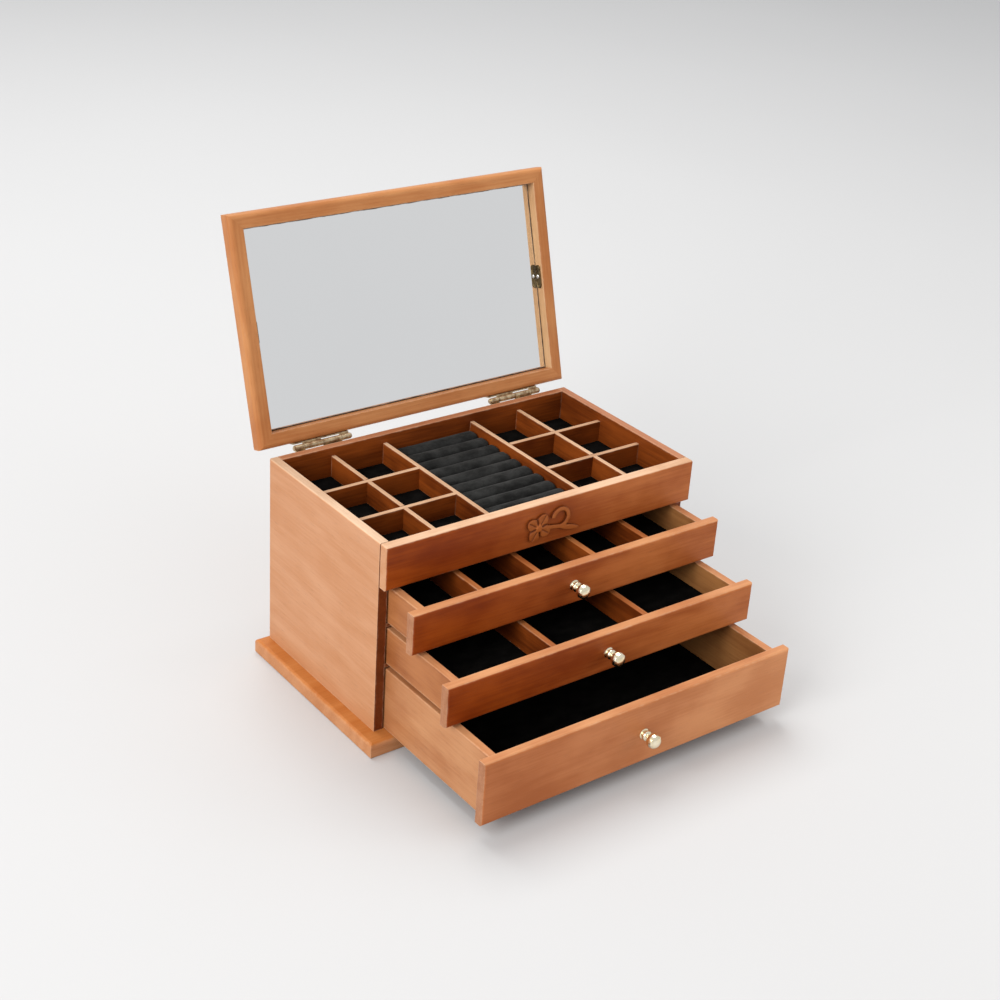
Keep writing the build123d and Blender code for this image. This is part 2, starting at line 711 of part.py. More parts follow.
for index, word in enumerate(("back", "right", "front", "left")):
    following = (index + 1) % 4
    with BuildPart() as rail:
        with BuildSketch(lid_plane.offset(lid_top)):
            with BuildLine():
                Polyline(
                    outer_corners[index],
                    outer_corners[following],
                    opening_corners[following],
                    opening_corners[index],
                    close=True,
                )
            make_face()
        extrude(amount=lid_thickness)
        outer_side = lid_plane.from_local_coords(
            Vector(
                (outer_corners[index][0] + outer_corners[following][0]) / 2,
                (outer_corners[index][1] + outer_corners[following][1]) / 2,
                lid_top + lid_thickness / 2,
            )
        )
        outer_face = rail.faces().sort_by_distance(outer_side)[0]
        long_edges = outer_face.edges().sort_by(SortBy.LENGTH)[-2:]
        fillet(long_edges, radius=lid_rounding)
        inner_lip = lid_plane.from_local_coords(
            Vector(
                (opening_corners[index][0] + opening_corners[following][0]) / 2,
                (opening_corners[index][1] + opening_corners[following][1]) / 2,
                lid_underside,
            )
        )
        fillet(rail.edges().sort_by_distance(inner_lip)[0], radius=edge_rounding)
        # the rabbet for the top panel
        with BuildSketch(lid_plane.offset(lid_top)):
            with Locations((0, panel_middle)):
                Rectangle(2 * panel_half_width, panel_depth)
        extrude(amount=lid_panel_thickness, mode=Mode.SUBTRACT)
        if word == "back":
            # pilot holes for the hinge screws, from behind
            with BuildSketch(lid_leaf_face):
                with Locations(*hinge_screw_places):
                    Circle(screw_shank_radius + screw_clearance)
            extrude(amount=-(screw_length + screw_clearance), mode=Mode.SUBTRACT)
        if word in ("left", "right"):
            # pilot hole for the mirror clip's screw
            clip_side = -1 if word == "left" else 1
            wall_point = Vector(clip_side * open_half_width, panel_middle, clip_level)
            wall_plane = Plane(
                origin=lid_plane.from_local_coords(wall_point),
                x_dir=lid_plane.y_dir,
                z_dir=(clip_side, 0, 0),
            )
            with BuildSketch(wall_plane):
                Circle(screw_shank_radius + screw_clearance)
            extrude(amount=screw_length + screw_clearance, mode=Mode.SUBTRACT)
    finish(rail.part, f"lid_{word}_rail")

# ------------------------------------------------------------------ lid panel and mirror
with BuildPart() as lid_top_panel:
    with BuildSketch(lid_plane.offset(lid_top)):
        with Locations((0, panel_middle)):
            Rectangle(2 * panel_half_width, panel_depth)
    extrude(amount=lid_panel_thickness)
finish(lid_top_panel.part, "lid_top_panel")

with BuildPart() as mirror_glass:
    with BuildSketch(lid_plane.offset(lid_top + lid_panel_thickness)):
        with Locations((0, panel_middle)):
            mirror_width = 2 * (open_half_width - mirror_clearance)
            mirror_depth = open_end - open_start - 2 * mirror_clearance
            Rectangle(mirror_width, mirror_depth)
    extrude(amount=mirror_thickness)
finish(mirror_glass.part, "mirror_glass")

# ------------------------------------------------------------------ mirror clips
# A round-ended brass plate on each end wall of the lid's recess, its edge against the glass.
with BuildPart() as mirror_clips:
    for side in (-1, 1):
        plate_plane = Plane(
            origin=lid_plane.from_local_coords(
                Vector(side * open_half_width, panel_middle, clip_level)
            ),
            x_dir=lid_plane.y_dir,
            z_dir=(-side, 0, 0),
        )
        with BuildSketch(plate_plane):
            SlotOverall(clip_length, clip_width)
            Circle(clip_hole_radius, mode=Mode.SUBTRACT)
        extrude(amount=clip_thickness)
finish(mirror_clips.part, "mirror_clips")

with BuildPart() as mirror_clip_screws:
    for side in (-1, 1):
        head_plane = Plane(
            origin=lid_plane.from_local_coords(
                Vector(side * (open_half_width - clip_thickness), panel_middle, clip_level)
            ),
            x_dir=lid_plane.y_dir,
            z_dir=(-side, 0, 0),
        )
        with BuildSketch(head_plane):
            Circle(round_head_radius)
        extrude(amount=round_head_height)
        with BuildSketch(head_plane):
            Circle(screw_shank_radius)
        extrude(amount=-screw_length)
finish(mirror_clip_screws.part, "mirror_clip_screws")
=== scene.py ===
# %% [markdown]
# # A wooden jewelry box with a mirror lid and three drawers
# The boards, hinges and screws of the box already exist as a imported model, and every one of them
# stays where it is. This file gives the boards their wood, and models by hand what a plain board
# can't show: velvet pads and ring rolls, turned brass knobs, the carved flower, the mirror clips
# and the screw heads. Sizes are in metres, +Z is up and the drawers open towards -Y.

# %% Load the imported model
import math
import random

import bmesh
import bpy
from mathutils import Matrix, Vector, noise


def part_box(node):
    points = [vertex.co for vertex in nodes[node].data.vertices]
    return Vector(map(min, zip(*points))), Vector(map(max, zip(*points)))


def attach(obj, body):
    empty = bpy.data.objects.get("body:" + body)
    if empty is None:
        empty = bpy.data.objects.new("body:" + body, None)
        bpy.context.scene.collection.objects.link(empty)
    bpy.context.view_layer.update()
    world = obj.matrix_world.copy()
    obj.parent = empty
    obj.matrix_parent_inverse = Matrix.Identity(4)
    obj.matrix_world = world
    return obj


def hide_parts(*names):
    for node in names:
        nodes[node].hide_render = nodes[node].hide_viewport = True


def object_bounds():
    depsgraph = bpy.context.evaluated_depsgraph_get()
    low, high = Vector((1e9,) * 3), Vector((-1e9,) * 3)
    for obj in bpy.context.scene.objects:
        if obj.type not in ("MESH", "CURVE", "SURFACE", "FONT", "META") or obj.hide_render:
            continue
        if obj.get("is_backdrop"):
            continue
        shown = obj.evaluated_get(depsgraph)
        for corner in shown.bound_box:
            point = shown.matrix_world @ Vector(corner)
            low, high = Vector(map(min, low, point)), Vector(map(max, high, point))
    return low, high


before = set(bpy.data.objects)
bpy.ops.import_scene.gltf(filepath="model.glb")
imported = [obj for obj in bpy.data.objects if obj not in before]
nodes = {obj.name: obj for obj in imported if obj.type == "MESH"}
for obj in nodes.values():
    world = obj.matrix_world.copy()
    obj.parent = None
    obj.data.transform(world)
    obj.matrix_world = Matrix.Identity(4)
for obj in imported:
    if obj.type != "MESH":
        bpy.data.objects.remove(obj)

MM = 0.001
packed_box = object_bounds()
print("packed model:", len(nodes), "nodes, size", packed_box[1] - packed_box[0])

# %% [markdown]
# ## Small helpers for working by hand
# An operator acts on everything that is selected, and the loaded boards arrive selected, so each
# step starts by letting go of everything and taking hold of one piece. A finished piece has its
# place in its mesh and its object at the origin, as the boards have.

# %% Take hold of a piece


def let_go():
    """Leave edit mode and deselect everything."""
    if bpy.context.object and bpy.context.object.mode != "OBJECT":
        bpy.ops.object.mode_set(mode="OBJECT")
    bpy.ops.object.select_all(action="DESELECT")


def take_hold(piece):
    """Make one piece the only selected one, and the active one."""
    let_go()
    piece.select_set(True)
    bpy.context.view_layer.objects.active = piece


def named(name):
    """Name the piece that an operator has just added, and give it back."""
    piece = bpy.context.object
    piece.name = name
    piece.data.name = name
    return piece


def settle(piece):
    """Move a piece's place, turn and size into its mesh."""
    take_hold(piece)
    bpy.ops.object.transform_apply(location=True, rotation=True, scale=True)


def apply_modifier(piece, kind, **settings):
    """Add one modifier, set it up and apply it."""
    modifier = piece.modifiers.new(kind.title(), kind)
    for setting, value in settings.items():
        setattr(modifier, setting, value)
    take_hold(piece)
    bpy.ops.object.modifier_apply(modifier=modifier.name)


def clean_shell(piece):
    """Merge doubled points and turn every face outwards."""
    take_hold(piece)
    bpy.ops.object.mode_set(mode="EDIT")
    bpy.ops.mesh.select_all(action="SELECT")
    bpy.ops.mesh.remove_doubles(threshold=0.01 * MM)
    bpy.ops.mesh.normals_make_consistent(inside=False)
    bpy.ops.object.mode_set(mode="OBJECT")


def smooth_shade(piece, degrees=35):
    """Shade a piece smoothly, with a crease wherever it turns by more than this."""
    take_hold(piece)
    bpy.ops.object.shade_smooth_by_angle(angle=math.radians(degrees))


def join(pieces, name):
    """Join several pieces into one."""
    take_hold(pieces[0])
    for piece in pieces[1:]:
        piece.select_set(True)
    if len(pieces) > 1:
        bpy.ops.object.join()
    return named(name)


def copy_of(piece, shift):
    """A copy of a piece with a mesh of its own, moved by shift."""
    twin = piece.copy()
    twin.data = piece.data.copy()
    twin.data.transform(Matrix.Translation(shift))
    bpy.context.scene.collection.objects.link(twin)
    return twin


# %% Find the separate solids of a node


def solids_of(node):
    """The points of each separate solid in a node, one list of points for each solid."""
    shell = bmesh.new()
    shell.from_mesh(nodes[node].data)
    bmesh.ops.remove_doubles(shell, verts=shell.verts, dist=0.001 * MM)
    seen, solids = set(), []
    for first in shell.verts:
        if first in seen:
            continue
        seen.add(first)
        found, waiting = [], [first]
        while waiting:
            point = waiting.pop()
            found.append(point.co.copy())
            for edge in point.link_edges:
                other = edge.other_vert(point)
                if other not in seen:
                    seen.add(other)
                    waiting.append(other)
        solids.append(found)
    shell.free()
    return sorted(solids, key=lambda points: tuple(min(p[i] for p in points) for i in (0, 1, 2)))


def corners(points):
    """The lowest and highest corner of some points."""
    low = Vector(min(p[i] for p in points) for i in range(3))
    high = Vector(max(p[i] for p in points) for i in range(3))
    return low, high


print("ring rolls:", len(solids_of("ring_rolls")), "solids")

# %% [markdown]
# ## Camera
# A camera a little over a metre away, above and to the left of the drawers, with a long lens so
# that the box keeps its straight edges. It is turned about the upright, tipped down, and rolled.

# %% Place the camera
camera_place = Vector((-0.7683, -0.99915, 0.7876))
turn, tip, roll = math.radians(38.174), math.radians(27.079), math.radians(3.972)

look = Vector((math.sin(turn) * math.cos(tip), math.cos(turn) * math.cos(tip), -math.sin(tip)))
level_right = Vector((math.cos(turn), -math.sin(turn), 0))
level_down = look.cross(level_right)
camera_right = level_right * math.cos(roll) - level_down * math.sin(roll)
camera_up = -(level_right * math.sin(roll) + level_down * math.cos(roll))

camera_data = bpy.data.cameras.new("camera")
camera_data.sensor_width = 36
camera_data.lens = 62.41
camera = bpy.data.objects.new("camera", camera_data)
bpy.context.scene.collection.objects.link(camera)
camera.matrix_world = Matrix.Translation(camera_place) @ Matrix(
    (camera_right, camera_up, -look)
).transposed().to_4x4()
bpy.context.scene.camera = camera
print("camera looks along", look)

# %% [markdown]
# ## Writing materials as sums
# A material is a small calculation made at every point of a surface. Node by node it is hard to
# read, so a socket is wrapped in a class that can be added and multiplied like a number, and
# each sum quietly adds its Math node. One method makes every other kind of node.

# %% Wrap a socket, and make nodes


class Wire:
    """A node's output that can be used in sums."""

    def __init__(self, finish, socket):
        self.finish = finish
        self.socket = socket

    def math(self, operation, *others):
        return self.finish.node("ShaderNodeMath", {"operation": operation}, [self, *others])

    def __add__(self, other):
        return self.math("ADD", other)

    def __sub__(self, other):
        return self.math("SUBTRACT", other)

    def __mul__(self, other):
        return self.math("MULTIPLY", other)

    def __rsub__(self, other):
        return self.finish.node("ShaderNodeMath", {"operation": "SUBTRACT"}, [other, self])

    __radd__ = __add__
    __rmul__ = __mul__

    def step(self, low, high):
        """0 below low, 1 above high, and a smooth step between them."""
        ends = {"From Min": low, "From Max": high}
        smooth = {"interpolation_type": "SMOOTHSTEP"}
        return self.finish.node("ShaderNodeMapRange", smooth, {"Value": self, **ends})


class Finish:
    """One material: its node tree, and a short way to add nodes to it."""

    def __init__(self, name):
        self.material = bpy.data.materials.new(name)
        self.material.use_nodes = True
        self.tree = self.material.node_tree
        self.tree.nodes.clear()

    def node(self, kind, settings=None, values=(), output=0):
        """Add a node, set it up, fill its sockets with values or wires, and give an output."""
        made = self.tree.nodes.new(kind)
        for setting, value in (settings or {}).items():
            setattr(made, setting, value)
        pairs = values.items() if isinstance(values, dict) else enumerate(values)
        by_identifier = {socket.identifier: socket for socket in made.inputs}
        for key, value in pairs:
            socket = by_identifier.get(key) or made.inputs[key]
            if isinstance(value, Wire):
                self.tree.links.new(value.socket, socket)
            else:
                socket.default_value = value
        return Wire(self, made.outputs[output]) if len(made.outputs) else None

    def blend(self, share, first, second):
        """The first colour where share is 0, and the second where it is 1."""
        values = {"Factor_Float": share, "A_Color": first, "B_Color": second}
        return self.node("ShaderNodeMix", {"data_type": "RGBA"}, values, output=2)

    def noise(self, place, stretch, detail=3.0, seed=0.0):
        """Cloudy noise about 0.5, with this many spots to a metre along each axis."""
        shifted = {"Vector": place, "Scale": stretch, "Location": (seed, 2 * seed, 3 * seed)}
        vector = self.node("ShaderNodeMapping", None, shifted)
        values = {"Vector": vector, "Scale": 1.0, "Detail": detail, "Roughness": 0.55}
        return self.node("ShaderNodeTexNoise", None, values)

    def place(self, centre=(0, 0, 0), turn_x=0.0):
        """Where a point is, from this centre, with the axes turned about X."""
        here = self.node("ShaderNodeTexCoord", output="Object")
        back = {"Vector": here, "Location": centre, "Rotation": (turn_x, 0, 0)}
        return self.node("ShaderNodeMapping", {"vector_type": "TEXTURE"}, back)

    def along(self, vector, axis):
        """One number of a vector: X, Y or Z."""
        return self.node("ShaderNodeSeparateXYZ", None, [vector], output=axis)

    def bump(self, height, strength, depth):
        """A surface pushed in and out by height."""
        values = {"Height": height, "Strength": strength, "Distance": depth}
        return self.node("ShaderNodeBump", None, values)

    def done(self, **values):
        """Finish the material with one surface shader."""
        shader = self.node("ShaderNodeBsdfPrincipled", None, values)
        self.node("ShaderNodeOutputMaterial", None, {"Surface": shader})
        return self.material


def colour(red, green, blue):
    """A colour with its alpha, as sockets want it."""
    return (red, green, blue, 1.0)


# %% [markdown]
# ## Stained wood, with painted light and shade
# The box is a light hardwood, wiped with an orange-brown stain and sprayed with satin lacquer.
# Grain runs along each board, so every board gets its own material with the same recipe: growth
# bands, fine fibres and short pores drawn out along the board, and a cloudy unevenness where the
# stain took more or less. A second colour is laid over the faces that look a given way, so one
# board can be dark on its face and pale on its top or in a recess. On some faces it is a stain of
# its own; the paler tops are painted light from above, the plinth top carries a painted reflection
# of the side panel, and the front edges of the side panels carry painted shade. The fronts are
# painted lighter towards their right ends, as light falling from the right, and every edge gets a
# paler rim that is partly wear and partly painted highlight. Another way would be one shared
# material for all boards, but then the grain would run through the corners without a break.

# %% Colours of the stain, and of the painted light and shade
# light wood, dark wood
STAIN_AND_PAINTED_LIGHT_COLOURS = {
    "side": (colour(0.55, 0.28, 0.15), colour(0.46, 0.20, 0.085)),
    "plinth": (colour(0.55, 0.26, 0.12), colour(0.42, 0.16, 0.055)),
    # painted reflection: the plinth top coloured like the side panel reflected in it
    "plinth_top_painted_reflection": (colour(0.52, 0.20, 0.055), colour(0.40, 0.12, 0.022)),
    "front": (colour(0.30, 0.055, 0.005), colour(0.17, 0.023, 0.002)),
    # painted light: the right ends of the fronts, coloured as lit from the right
    "front_right": (colour(0.47, 0.150, 0.042), colour(0.31, 0.075, 0.015)),
    "front_pale": (colour(0.47, 0.160, 0.056), colour(0.36, 0.105, 0.030)),
    # painted light: the right end of the third drawer's front, coloured as lit from the right
    "pale_right": (colour(0.60, 0.260, 0.110), colour(0.48, 0.180, 0.066)),
    # painted light: the tops of the drawer boards, coloured as lit from above
    "front_top": (colour(0.58, 0.27, 0.12), colour(0.43, 0.16, 0.06)),
    "front_end": (colour(0.44, 0.21, 0.11), colour(0.30, 0.12, 0.055)),
    "inner": (colour(0.26, 0.058, 0.008), colour(0.080, 0.014, 0.002)),
    "lid": (colour(0.53, 0.235, 0.088), colour(0.39, 0.135, 0.040)),
    "raw": (colour(0.36, 0.16, 0.052), colour(0.20, 0.075, 0.022)),
    "drawer": (colour(0.40, 0.155, 0.055), colour(0.26, 0.080, 0.022)),
    "drawer_pale": (colour(0.50, 0.24, 0.11), colour(0.38, 0.15, 0.058)),
    # painted light: the left side panel's top, coloured as lit from above; also the colour of the paler
    # rims along every edge
    "rim": (colour(0.66, 0.46, 0.31), colour(0.50, 0.30, 0.18)),
    "red_rim": (colour(0.44, 0.19, 0.095), colour(0.30, 0.10, 0.040)),
    # painted light: the tops of the dividers and of the apron, coloured as lit from above
    "divider_top": (colour(0.58, 0.37, 0.23), colour(0.42, 0.23, 0.125)),
    "apron_top_painted_light": (colour(0.70, 0.45, 0.29), colour(0.52, 0.29, 0.16)),
    "drawer_divider_top": (colour(0.46, 0.17, 0.055), colour(0.30, 0.085, 0.022)),
    "recess": (colour(0.62, 0.40, 0.21), colour(0.46, 0.25, 0.115)),
    # painted shade: the dark front edges of the side panels, and the hollows of the carving
    "edge": (colour(0.20, 0.046, 0.010), colour(0.11, 0.022, 0.004)),
    "carved": (colour(0.40, 0.120, 0.028), colour(0.26, 0.060, 0.010)),
}


def box_about(node, turn_x=0.0):
    """A board's centre, and half its size along its own axes, which are turned about X."""
    turned = Matrix.Rotation(turn_x, 3, "X")
    low, high = corners([turned.inverted() @ v.co for v in nodes[node].data.vertices])
    return turned @ ((low + high) / 2), (high - low) / 2


def stretched(axis, along, across):
    """How fine a pattern is along one axis and across it."""
    return tuple(along if i == axis else across for i in range(3))


# %% The recipe for one board


def wood(name, stain, axis, centre, half, turn_x=0.0, faces=(), rubbing_and_highlight_share=0.22, uneven=1.0, sunk=None):
    """Lacquered wood for one board, its grain along an axis and another colour on some faces, which is a
    stain on some and painted light and shade on others.

    A stain may be a pair, from the left end of the board to the right, which paints light falling
    on the board from the right. Below the depth sunk the colour is darker: painted shade in the
    hollows of a carving, where the stain also pools.
    """
    luck = random.Random(name)
    finish = Finish(name)
    place = finish.place(centre, turn_x)
    sides = [finish.along(place, i) for i in "XYZ"]
    seed = luck.uniform(0, 40)

    # growth bands, fine fibres, clouds of stain and short pores, all drawn out along the grain
    waver = finish.noise(place, stretched(axis, 5, 16), 2.0, seed)
    across = sides[(axis + 1) % 3] + sides[(axis + 2) % 3] * 0.7
    bands = (across * 260 + waver * 24).math("SINE")
    fibres = finish.noise(place, stretched(axis, 22, 560), 4.0, seed + 5)
    clouds = finish.noise(place, stretched(axis, 14, 26), 3.0, seed + 9)
    pores = finish.noise(place, stretched(axis, 90, 2600), 1.0, seed + 13).step(0.36, 0.28)
    shade = bands * 0.09 + (fibres - 0.5) * 0.80 + (clouds - 0.5) * 1.9 * uneven + 0.5
    shade = shade.step(0.0, 1.0)

    # blends a pair of colours by the grain's shade; the pair is a stain, or painted light and shade for
    # some faces
    def stained(which):
        light, dark = STAIN_AND_PAINTED_LIGHT_COLOURS[which]
        return finish.blend(shade, dark, light)

    left, right = stain if isinstance(stain, tuple) else (stain, None)
    finished = stained(left)
    if right:
        # painted light: a front grows paler towards its right end, as light falling from the right
        painted_light_from_right = (sides[0] + (clouds - 0.5) * (50 * MM)).step(-0.8 * half[0], 0.9 * half[0])
        finished = finish.blend(painted_light_from_right, finished, stained(right))
    facing = finish.node("ShaderNodeTexCoord", output="Normal")
    turned_back = {"Vector": facing, "Angle": -turn_x}
    facing = finish.node("ShaderNodeVectorRotate", {"rotation_type": "X_AXIS"}, turned_back)
    # faces that look a given way get their own colour: a stain on some, painted light on tops, a painted
    # reflection on the plinth top, painted shade on the side panels' front edges
    for face_axis, way, face_stain in faces:
        towards = (finish.along(facing, "XYZ"[face_axis]) * way).step(0.45, 0.85)
        finished = finish.blend(towards, finished, stained(face_stain))
    # painted shade: the carving is darker down in its hollows, where the stain also pools
    if sunk is not None:
        pooled_stain_and_painted_shade = (sides[1] + (clouds - 0.5) * MM).step(sunk - 0.6 * MM, sunk + 0.6 * MM)
        finished = finish.blend(pooled_stain_and_painted_shade, finished, STAIN_AND_PAINTED_LIGHT_COLOURS["edge"][1])
    finished = finish.blend(pores * 0.30, finished, finish.blend(0.6, finished, colour(0, 0, 0)))

    # of a point's depths below the three pairs of sides, the middle one is small only at an edge
    depths = [h - s.math("ABSOLUTE") for h, s in zip(half, sides)]
    shallow = depths[0].math("MINIMUM", depths[1]).math("MINIMUM", depths[2])
    furthest = depths[0].math("MAXIMUM", depths[1]).math("MAXIMUM", depths[2])
    from_edge = depths[0] + depths[1] + depths[2] - shallow - furthest
    ragged = finish.noise(place, (160, 160, 160), 3.0, seed + 21)
    # paler rims along every edge, in the lit top colour: partly wear, partly painted highlight on the
    # rounded edges
    rubbing_and_painted_highlight = (from_edge + (ragged - 0.5) * (3 * MM)).step(1.3 * MM, -0.2 * MM)
    finished = finish.blend(rubbing_and_painted_highlight * rubbing_and_highlight_share, finished, STAIN_AND_PAINTED_LIGHT_COLOURS["rim"][0])

    height = fibres * 0.6 - pores * 0.8 + clouds * 0.3
    return finish.done(
        **{
            "Base Color": finished,
            "Roughness": fibres * 0.16 + rubbing_and_painted_highlight * 0.12 + 0.36,
            "Specular IOR Level": 0.14,
            "Coat Weight": 0.06,
            "Coat Roughness": 0.22,
            "Normal": finish.bump(height, 0.30, 0.22 * MM),
        }
    )


def dress(node, material):
    """Give a loaded node one material, and leave its mesh alone."""
    slots = nodes[node].data.materials
    slots.clear()
    slots.append(material)


# %% [markdown]
# ## Which way each board's grain runs
# A board is cut with the grain along its length, because wood is stiff that way and the saw
# follows it. The side panels are the exception people get wrong: their grain runs front to back,
# so that they swell and shrink together with the lid.

# %% Wood for every board
X, Y, Z = 0, 1, 2
lid_open_degrees = 106
lid_turn = math.radians(180 - lid_open_degrees)
# the colours on the tops of the dividers, the apron and the drawer fronts are painted light from above
divider_tops = [(Z, 1, "divider_top")]
apron_faces = [(X, -1, "side"), (X, 1, "side"), (Y, 1, "inner"), (Z, 1, "apron_top_painted_light")]
front_faces = [(X, -1, "front_end"), (X, 1, "front_end"), (Z, 1, "front_top"), (Y, 1, "drawer")]
# stain, the way the grain runs, and faces with a colour of their own, a stain on some and painted light
# and shade on others: axis, way, colour
grain_of_board = {
    # the plinth top carries a painted reflection of the side panel
    "base_plinth": ("plinth", X, [(Z, 1, "plinth_top_painted_reflection")]),
    # the left side panel's top is painted light from above, its front edge painted shade
    "left_side_panel": ("side", Y, [(X, 1, "inner"), (Y, -1, "edge"), (Z, 1, "rim")]),
    # the right side panel's front edge is painted shade
    "right_side_panel": ("side", Y, [(X, -1, "inner"), (Y, -1, "edge"), (Z, 1, "red_rim")]),
    "back_panel": ("side", X, [(Y, -1, "inner"), (Z, 1, "red_rim")]),
    # the apron's right end is painted light from the right
    "front_apron": (("front", "front_right"), X, apron_faces),
    "tray_floor": ("inner", X, []),
    "upper_shelf": ("inner", X, []),
    "lower_shelf": ("inner", X, []),
}
for word in ("left", "right"):
    grain_of_board["tray_long_divider_" + word] = ("inner", Y, divider_tops)
    grain_of_board["tray_column_divider_" + word] = ("inner", Y, divider_tops)
    grain_of_board["tray_cross_dividers_" + word] = ("inner", X, divider_tops)
for number in (1, 2, 3):
    drawer = f"drawer_{number}_"
    # each front's second colour is painted light on its right end
    front_stain_and_painted_light = ("front_pale", "pale_right") if number == 3 else ("front", "front_right")
    side_stain = "drawer_pale" if number == 3 else "drawer"
    # painted light on the tops of the drawer sides and backs
    side_top = (Z, 1, "front_top")
    grain_of_board[drawer + "front"] = (front_stain_and_painted_light, X, front_faces)
    grain_of_board[drawer + "left_side"] = (side_stain, Y, [(X, 1, "raw"), side_top])
    grain_of_board[drawer + "right_side"] = (side_stain, Y, [(X, -1, "raw"), side_top])
    grain_of_board[drawer + "back"] = ("inner", X, [side_top])
    grain_of_board[drawer + "bottom"] = ("inner", X, [])
    if drawer + "dividers" in nodes:
        grain_of_board[drawer + "dividers"] = ("inner", Y, [(Z, 1, "drawer_divider_top")])
grain_of_rail = {
    "lid_back_rail": ("lid", X, []),
    "lid_front_rail": ("lid", X, []),
    "lid_left_rail": ("lid", Y, [(X, 1, "recess")]),
    "lid_right_rail": ("lid", Y, [(X, -1, "recess")]),
    "lid_top_panel": ("lid", X, []),
}
for node, (stain, axis, faces) in grain_of_board.items():
    centre, half = box_about(node)
    uneven = 0.45 if stain in ("side", "plinth") else 1.0
    dress(node, wood("wood_" + node, stain, axis, centre, half, faces=faces, uneven=uneven))
for node, (stain, axis, faces) in grain_of_rail.items():
    centre, half = box_about(node, lid_turn)
    dress(node, wood("wood_" + node, stain, axis, centre, half, lid_turn, faces, uneven=0.7))
print("wood on", len(grain_of_board) + len(grain_of_rail), "boards")

# %% [markdown]
# ## Velvet
# The pads and the ring rolls are covered with short-pile velvet. Pile swallows light head on and
# catches it at a glancing angle, which is what the shader's sheen is for. Tiny clumps of pile lean
# different ways, so a fine noise raises and darkens the surface, and a coarse one leaves strokes.

# %% Two velvets


def velvet(name, deep, raised, sheen, shine):
    """Short-pile velvet between a deep and a raised colour."""
    finish = Finish(name)
    place = finish.place()
    pile = finish.noise(place, (2200, 2200, 2200), 2.0)
    strokes = finish.noise(place, (70, 110, 70), 3.0, 7.0)
    shade = (pile - 0.5) * 1.2 + (strokes - 0.5) * 1.6 + 0.5
    return finish.done(
        **{
            "Base Color": finish.blend(shade.step(0.1, 0.9), deep, raised),
            "Roughness": pile * 0.15 + 0.82,
            "Specular IOR Level": shine,
            "Sheen Weight": sheen,
            "Sheen Roughness": 0.45,
            "Sheen Tint": colour(0.80, 0.79, 0.77),
            "Normal": finish.bump(pile + strokes * 0.5, 0.6, 0.35 * MM),
        }
    )


black_velvet = velvet(
    "black_velvet", colour(0.0012, 0.0011, 0.0010), colour(0.0060, 0.0055, 0.0050), 0.004, 0.03
)
charcoal_velvet = velvet(
    "charcoal_velvet", colour(0.006, 0.006, 0.0057), colour(0.028, 0.028, 0.027), 0.06, 0.08
)
dress("ring_roll_board", charcoal_velvet)

# %% [markdown]
# ## Brass, steel and mirror glass
# Metal has no colour but what it reflects, so its base colour is the tint of the reflection, and
# the rest is how rough it is: polished knobs are nearly a mirror, hinge leaves are drawn sheet with
# fine lines, and the old clips are browned by handling.

# %% Metals


def metal(name, bright, dull, rough, spread, patches, lines=(500, 500, 500)):
    """Metal between a bright and a dull tint, with fine lines drawn in it."""
    finish = Finish(name)
    place = finish.place()
    stain = finish.noise(place, (patches, patches, patches), 4.0, 3.0)
    scratches = finish.noise(place, lines, 3.0, 11.0)
    return finish.done(
        **{
            "Base Color": finish.blend(stain.step(0.35, 0.72), bright, dull),
            "Metallic": 1.0,
            "Roughness": stain * spread + scratches * spread * 0.6 + rough,
            "Normal": finish.bump(scratches, 0.12, 0.05 * MM),
        }
    )


polished_brass = metal(
    "polished_brass", colour(0.96, 0.88, 0.68), colour(0.88, 0.75, 0.48), 0.06, 0.15, 160
)
hinge_brass = metal(
    "hinge_brass", colour(0.66, 0.53, 0.34), colour(0.30, 0.17, 0.085), 0.22, 0.28, 240, (60, 1500, 1500)
)
aged_brass = metal(
    "aged_brass", colour(0.17, 0.12, 0.055), colour(0.035, 0.022, 0.010), 0.26, 0.35, 260
)
screw_steel = metal("screw_steel", colour(0.80, 0.78, 0.74), colour(0.55, 0.53, 0.50), 0.15, 0.2, 300)

for side in ("left", "right"):
    dress("hinge_case_leaf_" + side, hinge_brass)
    dress("hinge_lid_leaf_" + side, hinge_brass)
dress("hinge_pins", hinge_brass)
for number in (1, 2, 3):
    dress(f"drawer_{number}_knob_screw", screw_steel)

# %% Mirror glass


def mirror_glass(name, centre, half, turn_x):
    """Silvered glass: the silvering darkens in a thin uneven line along the edge."""
    finish = Finish(name)
    place = finish.place(centre, turn_x)
    depths = [h - finish.along(place, i).math("ABSOLUTE") for h, i in zip(half[:2], "XY")]
    ragged = finish.noise(place, (90, 90, 90), 4.0)
    from_edge = depths[0].math("MINIMUM", depths[1]) + (ragged - 0.5) * (1.6 * MM)
    silver = from_edge.step(0.3 * MM, 1.1 * MM)
    haze = finish.noise(place, (9, 6, 9), 3.0, 4.0)
    tint = finish.blend(haze, colour(0.93, 0.935, 0.93), colour(0.90, 0.905, 0.905))
    return finish.done(
        **{
            "Base Color": finish.blend(silver, colour(0.06, 0.04, 0.025), tint),
            "Metallic": silver * 0.7 + 0.3,
            "Roughness": haze * 0.02 + (1 - silver) * 0.4,
        }
    )


centre, half = box_about("mirror_glass", lid_turn)
dress("mirror_glass", mirror_glass("mirror_silver", centre, half, lid_turn))
print("mirror", [round(2 * h / MM, 1) for h in half], "mm")

# %% [markdown]
# ## Soft pads by simulation
# A velvet pad is a thin sheet of foam under cloth, glued to a card. Its sides stay put and its top
# rises a little, more in the middle than at the rim. Blender's cloth can do that: the pad is a
# closed shell, its underside is glued, and a little air pressure pushes the rest outwards for
# twenty frames. How far a point may go is capped, so a pad never leaves the room made for it.

# %% Let a shell fill with air
puff_frames = 20


